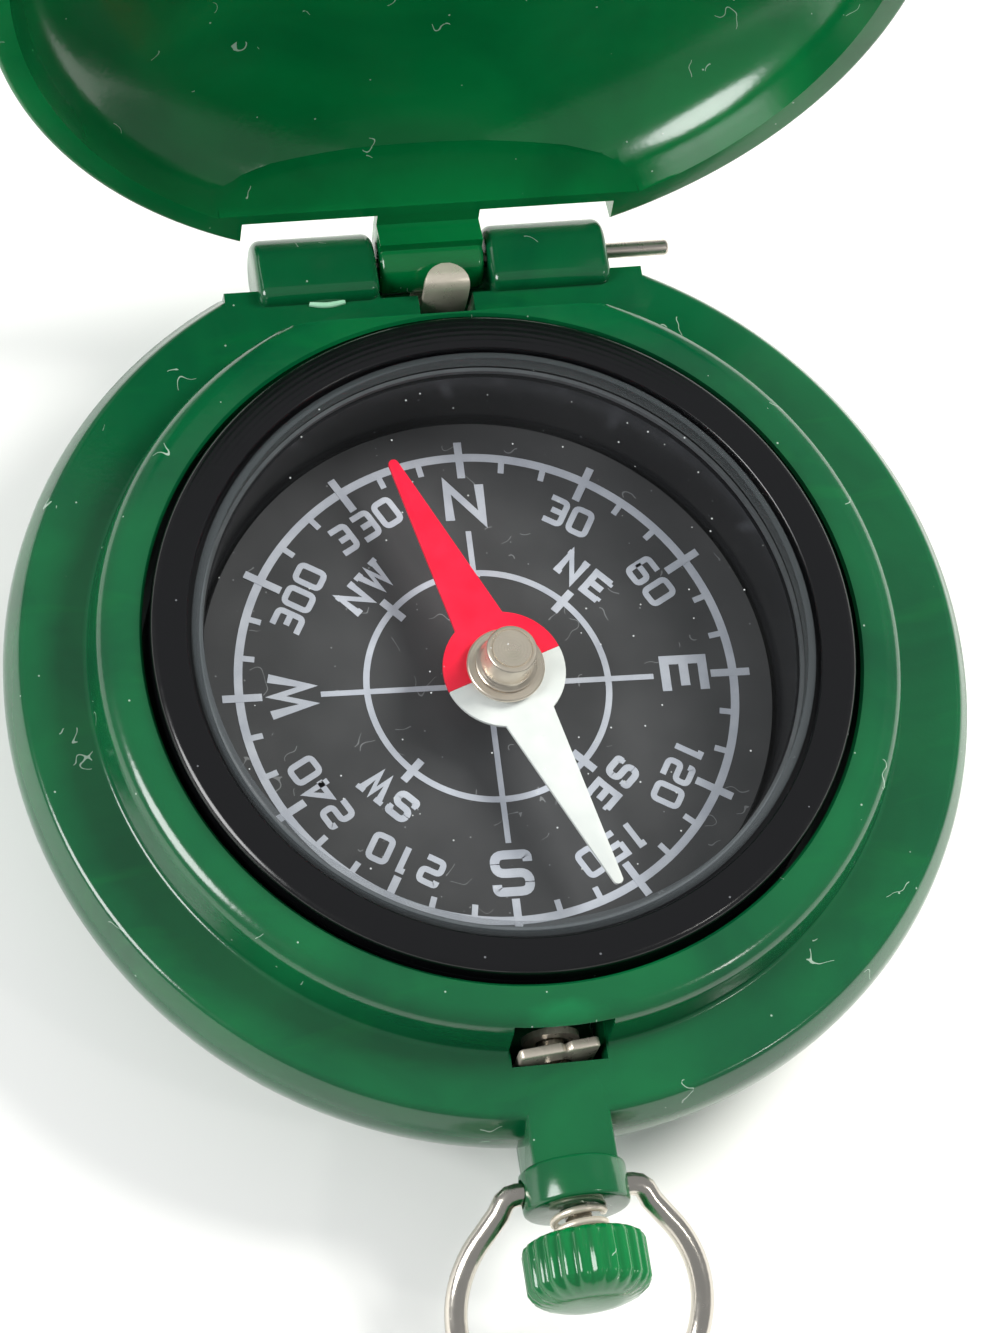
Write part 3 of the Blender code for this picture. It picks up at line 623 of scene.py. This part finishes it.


# ---- printed dial: ticks by Geometry Nodes, rings turned, glyphs as strokes ----------
def tick_tree():
    """Count bars, Length by Width, evenly turned about Z at Radius, from Start degrees."""
    tree = bpy.data.node_groups.new("evenly_spaced_ticks", 'GeometryNodeTree')
    face = tree.interface
    face.new_socket("Geometry", in_out='OUTPUT', socket_type='NodeSocketGeometry')
    face.new_socket("Count", in_out='INPUT', socket_type='NodeSocketInt')
    for name in ("Radius", "Length", "Width", "Height", "Start"):
        face.new_socket(name, in_out='INPUT', socket_type='NodeSocketFloat')
    face.new_socket("Ink", in_out='INPUT', socket_type='NodeSocketMaterial')
    given = tree.nodes.new('NodeGroupInput').outputs
    bar_size = add(tree, 'ShaderNodeCombineXYZ', {0: given["Length"], 1: given["Width"], 2: 0.02})
    bar = add(tree, 'GeometryNodeMeshCube', {"Size": bar_size.outputs[0]})
    offset = add(tree, 'ShaderNodeCombineXYZ', {0: given["Radius"], 2: given["Height"]})
    placed = add(tree, 'GeometryNodeTransform', {"Geometry": bar.outputs["Mesh"],
                                                 "Translation": offset.outputs[0]})
    spots = add(tree, 'GeometryNodePoints', {"Count": given["Count"]})
    index = add(tree, 'GeometryNodeInputIndex', {})
    part = add(tree, 'ShaderNodeMath', {0: index.outputs[0], 1: given["Count"]},
               operation='DIVIDE')
    turn = add(tree, 'ShaderNodeMath', {0: part.outputs[0], 1: math.tau}, operation='MULTIPLY')
    start = add(tree, 'ShaderNodeMath', {0: given["Start"], 1: math.radians(1.0)},
                operation='MULTIPLY')
    total = add(tree, 'ShaderNodeMath', {0: turn.outputs[0], 1: start.outputs[0]},
                operation='ADD')
    spin = add(tree, 'ShaderNodeCombineXYZ', {2: total.outputs[0]})
    copies = add(tree, 'GeometryNodeInstanceOnPoints', {
        "Points": spots.outputs[0], "Instance": placed.outputs[0], "Rotation": spin.outputs[0]})
    real = add(tree, 'GeometryNodeRealizeInstances', {0: copies.outputs[0]})
    inked = add(tree, 'GeometryNodeSetMaterial', {"Geometry": real.outputs[0],
                                                  "Material": given["Ink"]})
    out = tree.nodes.new('NodeGroupOutput')
    tree.links.new(inked.outputs[0], out.inputs[0])
    return tree


TICKS = tick_tree()


def ticks(name, look, **inputs):
    """A working object that shows the tick tree with these inputs."""
    obj = hold(name, bpy.data.meshes.new(name))
    step = obj.modifiers.new("ticks", 'NODES')
    step.node_group = TICKS
    for item in TICKS.interface.items_tree:
        if item.in_out == 'INPUT':
            step[item.identifier] = look if item.name == "Ink" else inputs[item.name.lower()]
    return obj


def softened(points, radius, closed=False, steps=5):
    """Round the corners of a path by short curves."""
    if radius <= 0:
        return points
    made = []
    last = len(points) - 1
    for i, here in enumerate(points):
        if not closed and i in (0, last):
            made.append(here)
            continue
        before, corner = Vector(points[i - 1]), Vector(here)
        after = Vector(points[(i + 1) % len(points)])
        reach = min(radius, (before - corner).length / 2, (after - corner).length / 2)
        start = corner + (before - corner).normalized() * reach
        end = corner + (after - corner).normalized() * reach
        for step in range(steps + 1):
            t = step / steps
            made.append(tuple(start.lerp(corner, t).lerp(corner.lerp(end, t), t)))
    return made


# Strokes on a cell one unit high and one unit wide: (corner radius, closed, points).
GLYPHS = {
    '0': [(0.3, True, [(0, 0), (1, 0), (1, 1), (0, 1)])],
    '1': [(0, False, [(0.3, 1), (0.62, 1), (0.62, 0)])],
    '2': [(0.28, False, [(0, 0.8), (0, 1), (1, 1), (1, 0.5), (0, 0.5), (0, 0), (1, 0)])],
    '3': [(0.28, False, [(0, 1), (1, 1), (1, 0), (0, 0)]), (0, False, [(0.25, 0.5), (1, 0.5)])],
    '4': [(0, False, [(0.85, 0), (0.85, 1), (0, 0.3), (1.1, 0.3)])],
    '5': [(0, False, [(0.95, 1), (0, 1), (0, 0.5)]),
          (0.28, False, [(0, 0.5), (1, 0.5), (1, 0), (0, 0)])],
    '6': [(0.28, False, [(0.95, 1), (0, 1), (0, 0), (1, 0), (1, 0.5), (0, 0.5)])],
    'N': [(0, False, [(0, 0), (0, 1), (1, 0), (1, 1)])],
    'E': [(0, False, [(1, 0), (0, 0), (0, 1), (1, 1)]), (0, False, [(0, 0.5), (0.85, 0.5)])],
    'S': [(0.5, False, [(1, 0.8), (1, 1), (0, 1), (0, 0.5), (1, 0.5), (1, 0), (0, 0),
                        (0, 0.2)])],
    'W': [(0, False, [(-0.1, 1), (0.22, 0), (0.5, 0.85), (0.78, 0), (1.1, 1)])],
}
SLABS = {
    'N': [(-0.2, 0, 0.25, 0), (-0.2, 1, 0.1, 1), (0.8, 1, 1.2, 1)],
    'E': [(-0.2, 0, 0, 0), (-0.2, 1, 0, 1), (1, 0, 1, 0.16), (1, 1, 1, 0.84)],
    'S': [(1, 0.7, 1, 1), (0, 0.3, 0, 0)],
    'W': [(-0.35, 1, 0.15, 1), (0.85, 1, 1.35, 1)],
}


def ribbon(work, points, width, closed, place):
    """A flat stroke along a path, mitred at its corners."""
    chain = [Vector(p) for p in points]
    count = len(chain)
    rows = []
    for i, here in enumerate(chain):
        before = chain[i - 1] if closed or i else here
        after = chain[(i + 1) % count] if closed or i < count - 1 else here
        sides = [v.normalized() for v in (here - before, after - here) if v.length > 1e-6]
        along = sum(sides, Vector((0, 0))).normalized()
        across = Vector((-along.y, along.x))
        square = Vector((-sides[0].y, sides[0].x))
        mitre = across * (width / 2 / max(across.dot(square), 0.45))
        rows.append([work.verts.new(place @ Vector((*(here + m), 0.0))) for m in (mitre, -mitre)])
    pairs = list(zip(rows, rows[1:])) + ([(rows[-1], rows[0])] if closed else [])
    for first, second in pairs:
        work.faces.new((first[0], second[0], second[1], first[1]))


def lettering(work, text, radius, azimuth, high, wide, gap, width, slabs=False):
    """Write the text with its tops outward, its foot at this radius, east of north."""
    cell = wide - width
    rise = high - width
    whole = wide * len(text) + gap * (len(text) - 1)
    turn = Matrix.Rotation(math.radians(PRINT_TURN_DEG - azimuth), 4, 'Z')
    for i, letter in enumerate(text):
        left = -whole / 2 + i * (wide + gap) + width / 2
        place = turn @ Matrix.Translation((left, radius + width / 2, DIAL_Z + 0.02))
        strokes = [(corner, closed, points, width) for corner, closed, points in GLYPHS[letter]]
        if slabs:
            strokes += [(0, False, [bar[:2], bar[2:]], width * 0.75) for bar in SLABS[letter]]
        for rank, (corner, closed, points, thick) in enumerate(strokes):
            sized = [(x * cell, y * rise) for x, y in points]
            path = softened(sized, corner * min(cell, rise), closed)
            ribbon(work, path, thick, closed, place @ Matrix.Translation((0, 0, 0.003 * rank)))


def make_print():
    start = 90 + PRINT_TURN_DEG
    high = DIAL_Z + 0.012
    rows = [
        ("thirty_degree_ticks", dict(count=12, radius=13.05, length=2.1, width=0.42,
                                     height=high + 0.012, start=start)),
        ("ten_degree_ticks", dict(count=36, radius=12.8, length=0.85, width=0.32,
                                  height=high + 0.004, start=start)),
        ("cross_lines", dict(count=4, radius=5.4, length=7.0, width=0.3,
                             height=high, start=start)),
        ("corner_ticks", dict(count=4, radius=INNER_RING_R, length=1.5, width=0.42,
                              height=high, start=start + 45)),
    ]
    for name, inputs in rows:
        finished(ticks(name, INK, **inputs), name, INK, "case")
    for name, radius, width in (("scale_ring", SCALE_R, 0.45), ("inner_ring", INNER_RING_R, 0.34)):
        near, far = radius - width / 2, radius + width / 2
        ring = turned(name, [(near, high + 0.008), (far, high + 0.008),
                             (far, high - 0.01), (near, high - 0.01)])
        finished(ring, name, INK, "case")
    work = bmesh.new()
    for i, letter in enumerate("NESW"):
        lettering(work, letter, 9.3, 90 * i, 2.55, 2.25, 0.0, 0.5)
    for number in (30, 60, 120, 150, 210, 240, 300, 330):
        lettering(work, str(number), 10.1, number, 1.7, 1.27, 0.17, 0.33)
    for i, letters in enumerate(("NE", "SE", "SW", "NW")):
        lettering(work, letters, 7.55, 45 + 90 * i, 1.65, 1.35, 0.36, 0.37, slabs=True)
    finished(from_work("letters", work), "dial_letters", INK, "case")


# ---- needle -------------------------------------------------------------------------
def half_needle(name, turn):
    """Half the disc with one tapering blade, split along the line across the pivot."""
    root, tip, disc, reach = 1.4, 0.28, 3.25, 13.1
    start = math.degrees(math.acos(root / disc))
    side = arc(0, 0, disc, 0, start, 12)
    end = arc(0, reach - tip, tip, 0, 180, 9)
    far = arc(0, 0, disc, 180 - start, 180, 12)
    hole = arc(0, 0, 1.02, 180, 0, 16)
    half = plate(name, side + end + far + hole, NEEDLE_Z, NEEDLE_Z + 0.24)
    half.rotation_euler = (0, 0, math.radians(turn))
    return ease(half, 0.05, 2, 60)


def make_needle():
    finished(half_needle("north", 0), "needle_north_half", RED, "compass_needle",
             ["needle"], SWUNG)
    finished(half_needle("south", 180), "needle_south_half", WHITE, "compass_needle",
             (), SWUNG)
    washer_low = NEEDLE_Z + 0.5
    rounded = arc(1.92, washer_low + 0.15, 0.15, 90, -60, 8)
    washer = turned("washer", [(0.95, washer_low + 0.3)] + rounded + [(0.95, washer_low)],
                    steps=96)
    finished(washer, "hub_washer_turned", NICKEL, "compass_needle",
             ["hub_washer"], SWUNG)
    foot = NEEDLE_Z + 0.95
    top = NEEDLE_Z + 2.88
    cap = turned("cap", [(0.0, top - 0.03), (0.25, top - 0.04), (0.4, top), (1.0, top),
                         (1.03, top - 0.07), (1.1, top - 0.07), (1.13, top)]
                 + arc(1.2, top - 0.13, 0.13, 90, 0, 6)
                 + [(1.33, top - 0.3), (1.33, foot + 0.45), (1.4, foot + 0.2), (1.62, foot),
                    (0.95, foot), (0.95, top - 0.4), (0.0, top - 0.4)], closed=False, steps=96)
    finished(cap, "hub_cap_turned", NICKEL, "compass_needle", ["hub_cap"], SWUNG)


# ---- hinge pin and lid spring -------------------------------------------------------
def make_pin():
    pin = ease(rod("pin", 0.42, (PIN_LOW.x, HINGE_Y, HINGE_Z), (PIN_HIGH.x, HINGE_Y, HINGE_Z)),
               0.2, 4)
    finished(pin, "hinge_pin_drawn", DRAWN, "case", ["hinge_pin"])


def make_lid_spring():
    """A bent strip whose free end is rounded in plan."""
    path = softened([(24.4, 6.2), (21.5, 6.2), (21.42, 8.7), (21.75, 10.35), (22.85, 10.42)], 1.1)
    half, thick, middle = 1.25, 0.16, 0.5
    chain = [Vector(p) for p in path]
    end = chain[-1]
    chain = chain[:-1] + [chain[-2].lerp(end, t / 10) for t in range(1, 11)]
    work = bmesh.new()
    rings = []
    for i, here in enumerate(chain):
        along = (chain[min(i + 1, len(chain) - 1)] - chain[max(i - 1, 0)]).normalized()
        across = Vector((-along.y, along.x)) * thick
        left = max((end - here).length, 0.02)
        wide = half if left > half else math.sqrt(max(half ** 2 - (half - left) ** 2, 0.02))
        corners = [(middle - wide, here + across), (middle + wide, here + across),
                   (middle + wide, here - across), (middle - wide, here - across)]
        rings.append([work.verts.new((x, p.x, p.y)) for x, p in corners])
    for low, high in zip(rings, rings[1:]):
        for k in range(4):
            work.faces.new((low[k], low[(k + 1) % 4], high[(k + 1) % 4], high[k]))
    work.faces.new(rings[0])
    work.faces.new(rings[-1][::-1])
    leaf = ease(from_work("leaf", work), 0.06, 2, 50)
    piece = finished(leaf, "lid_leaf_spring", BLANKED, "case", ["lid_spring"])
    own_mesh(piece)


# ---- lid ----------------------------------------------------------------------------
def make_lid():
    outer = [(0.0, 16.9), (8, 16.8), (12, 16.63), (15, 16.4), (18, 16.03), (20, 15.6),
             (21.5, 15.07), (22.6, 14.5), (23.5, 13.8), (24.17, 13.0), (24.58, 12.2),
             (24.81, 11.4), (24.9, 10.6), (24.88, 10.0)] + arc(24.6, 9.73, 0.28, 0, -90, 6) + [(0.0, RIM_Z)]
    inner = [(0.0, 15.5), (8, 15.4), (12, 15.25), (15, 15.0), (17.5, 14.65), (19.4, 14.2),
             (20.8, 13.7), (22.0, 13.0), (22.7, 12.3), (23.1, 11.6), (23.35, 10.9), (23.4, 10.2),
             (23.5, 9.6), (23.6, 8.0), (0.0, 8.0)]
    shell = turned("lid", outer, closed=False)
    hollow = turned("lid_hollow", inner, closed=False)
    cut(hollow, box("lid_wall", (-11.4, CHORD_Y - 0.7, 5), (11.4, 27, 18)))
    cut(shell, hollow, box("lid_notch", (-10.15, CHORD_Y, 5), (10.15, 27, 18)))
    arm = plate("lid_arm", [
        (CHORD_Y - 0.4, RIM_Z + 0.05), (21.95, RIM_Z + 0.05), (21.95, HINGE_Z - 0.3),
        (HINGE_Y, HINGE_Z - 0.3), (HINGE_Y, 9.85), (22.6, 10.15), (CHORD_Y - 0.4, 10.15)],
        -2.8, 2.8, axis='X')
    barrel = ease(rod("lid_barrel", LID_BARREL_R, (-2.85, HINGE_Y, HINGE_Z),
                      (2.85, HINGE_Y, HINGE_Z)), 0.35, 4)
    join(shell, arm, barrel)
    cut(shell, rod("lid_bore", 0.5, (-5, HINGE_Y, HINGE_Z), (5, HINGE_Y, HINGE_Z)))
    join(shell, box("lid_catch", (-1.9, -24, RIM_Z + 0.5), (1.9, -21.75, RIM_Z + 1.4)))
    cut(shell, box("sight_slit", (-1.1, -17, 12), (1.1, -4, 18)))
    ease(shell, 0.1, 2, 50)
    finished(shell, "lid_moulding", BRIGHTER_LIT_GREEN, "lid", ["lid_shell"], OPENED)

    hair = wire("hair", [(0, -18.2, 13.9), (0, -10.5, 14.5), (0, -2.8, 15.0)], 0.1)
    finished(hair, "sighting_hair", BLANKED, "lid", ["sight_wire"], OPENED)
    for name, node, y, z in (("tip_stud", "sight_stud_tip", -18.9, 13.95),
                             ("root_stud", "sight_stud_root", -2.1, 15.1)):
        stud = turned(name, [(0.0, 0.25), (0.28, 0.22), (0.44, 0.12), (0.49, -0.02),
                             (0.49, -0.25), (0.0, -0.25)], closed=False, steps=48)
        stud.location = (0, y, z)
        finished(stud, name, BRASS, "lid", [node], OPENED)


# ---- button, latch, bow -------------------------------------------------------------
def make_button():
    """A fluted knob: its radius swings in and out round the rim."""
    flutes, around = 24, 240
    rows = [(0.0, -2.9, 0), (0.95, -2.9, 0), (0.95, -1.9, 0), (2.15, -1.9, 0), (2.15, 0.0, 0),
            (KNOB_R - 0.35, 0.0, 0.2), (KNOB_R - 0.1, -0.15, 1), (KNOB_R, -0.4, 1),
            (KNOB_R, -2.4, 1), (KNOB_R - 0.2, -2.75, 1), (KNOB_R - 0.6, -3.05, 0.3),
            (KNOB_R - 1.2, -3.28, 0), (1.4, -3.37, 0), (0.0, -3.4, 0)]
    work = bmesh.new()
    rings = []
    for radius, depth, share in rows:
        ring = []
        for i in range(around):
            turn = math.tau * i / around
            groove = 0.17 * share * (0.5 - 0.5 * math.cos(flutes * turn)) ** 1.5
            r = radius - groove
            spot = (r * math.cos(turn), KNOB_HIGH.y + depth, STEM_Z + r * math.sin(turn))
            ring.append(work.verts.new(spot))
        rings.append(ring)
    for first, second in zip(rings, rings[1:]):
        for i in range(around):
            k = (i + 1) % around
            work.faces.new((first[i], first[k], second[k], second[i]))
    bmesh.ops.remove_doubles(work, verts=work.verts, dist=0.0001)
    finished(from_work("knob", work), "fluted_button", BRIGHTER_LIT_GREEN, "button",
             ["push_button"])

    stem = ease(rod("stem", 0.7, (0, STEM_LOW.y, STEM_Z), (0, STEM_HIGH.y, STEM_Z)), 0.1)
    finished(stem, "button_stem_turned", BOW_STEEL, "button", ["button_stem"])

    top = STEM_Z + 2.2
    outline = [(-2.1, 6.35), (2.1, 6.35)] + arc(1.85, top - 0.25, 0.25, 0, 90, 5) \
        + [(0.62, top), (0.36, top - 0.32), (0.14, top)] + arc(-1.85, top - 0.25, 0.25, 90, 180, 5)
    latch = plate("latch", outline, -0.26, 0.26, axis='Y')
    latch.location = (0, -21.35, 0)
    latch.rotation_euler = (0, 0, math.radians(5.0))
    ease(latch, 0.1, 3, 40)
    cut(latch, rod("latch_eye", 0.95, (0, -23, STEM_Z), (0, -19, STEM_Z)))
    finished(latch, "latch_strip", BLANKED, "button", ["latch_plate"])

    count = int(COIL_TURNS * 32)
    seat = node_box("button_spring")[1].y - 0.2
    coil = [(COIL_R * math.cos(math.tau * COIL_TURNS * i / count),
             seat - COIL_LENGTH * i / count,
             STEM_Z + COIL_R * math.sin(math.tau * COIL_TURNS * i / count))
            for i in range(count + 1)]
    piece = finished(wire("coil", coil, 0.2), "button_coil", BLANKED, "button",
                     ["button_spring"])
    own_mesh(piece)


def make_bow():
    radius, centre = 6.4, 6.2
    start = [(1.65, 0.0), (3.0, 0.0), (3.35, 0.08), (3.65, 0.32), (3.95, 0.9)]
    half = start + [(x, u + centre) for x, u in arc(0, 0, radius, -42, 90, 30)]
    whole = half + [(-x, u) for x, u in half[-2::-1]]
    ring = wire("bow", [(x, BOW_Y - u, STEM_Z) for x, u in whole], 0.6, 8)
    finished(ring, "bow_wire", BOW_STEEL, "bow", ["bow_ring"], DROOPED)


def dress_hidden():
    """Looks for the inner nodes that keep their own shape."""
    for name, look in (("pivot_bush", BRASS), ("pivot_pin", BLANKED), ("pivot_jewel", JEWEL),
                       ("stem_clip", BLANKED)):
        mesh = frame["nodes"][name].data
        mesh.materials.clear()
        mesh.materials.append(look)


make_case()
make_flash()
make_back_cover()
make_capsule()
make_print()
make_needle()
make_pin()
make_lid_spring()
make_lid()
make_button()
make_bow()
dress_hidden()
for shape in list(WORK.objects):
    bpy.data.objects.remove(shape, do_unlink=True)
bpy.data.collections.remove(WORK)


# ---- table, light and camera --------------------------------------------------------
def make_stage():
    work = bmesh.new()
    bmesh.ops.create_grid(work, x_segments=1, y_segments=1, size=0.6)
    mesh = bpy.data.meshes.new("table")
    work.to_mesh(mesh)
    work.free()
    table = bpy.data.objects.new("table", mesh)
    mesh.materials.append(new_look("pale paper table", "F2F2F0", 0.7)[0])
    bpy.context.scene.collection.objects.link(table)


def lamp(name, place, aim, size, watts, tint="FFFFFF", mirrored=True):
    data = bpy.data.lights.new(name, 'AREA')
    data.shape = 'DISK'
    data.size = size
    data.energy = watts
    data.color = colour(tint)[:3]
    light = bpy.data.objects.new(name, data)
    light.location = place
    light.rotation_euler = (Vector(aim) - Vector(place)).to_track_quat('-Z', 'Y').to_euler()
    light.visible_glossy = mirrored
    bpy.context.scene.collection.objects.link(light)


def make_light():
    lamp("window", (0.30, 0.13, 0.30), (0, 0, 0.01), 0.2, 3.0, "FFFDF8", mirrored=False)
    lamp("back_glint", (0.07, 0.34, 0.22), (0, 0, 0.01), 0.05, 0.25, "FFFDF8")
    lamp("front_glint", (0.26, -0.20, 0.30), (0, 0, 0.01), 0.04, 0.12, "FFFDF8")
    lamp("left_sheet", (-0.30, -0.05, 0.22), (0, 0, 0.01), 0.20, 1.3)
    world = bpy.data.worlds.new("soft_room")
    bpy.context.scene.world = world
    world.use_nodes = True
    world.node_tree.nodes["Background"].inputs[0].default_value = colour("EEF1F4")
    world.node_tree.nodes["Background"].inputs[1].default_value = 0.42
    bpy.context.scene.view_settings.view_transform = 'Standard'


def make_camera():
    """Looks down from the front left, rolled a little about its own axis."""
    data = bpy.data.cameras.new("camera")
    data.lens = 149.4
    data.sensor_width = 36.0
    data.clip_start = 0.01
    data.clip_end = 10.0
    camera = bpy.data.objects.new("camera", data)
    right = Vector((0.97750, -0.14869, 0.14960))
    ahead = Vector((0.19534, 0.37060, -0.90802))
    up = right.cross(ahead)
    axes = Matrix((right, up, -ahead)).transposed().to_4x4()
    camera.matrix_world = Matrix.Translation((-0.05608, -0.10689, 0.27088)) @ axes
    bpy.context.scene.collection.objects.link(camera)
    bpy.context.scene.camera = camera


make_stage()
make_light()
make_camera()
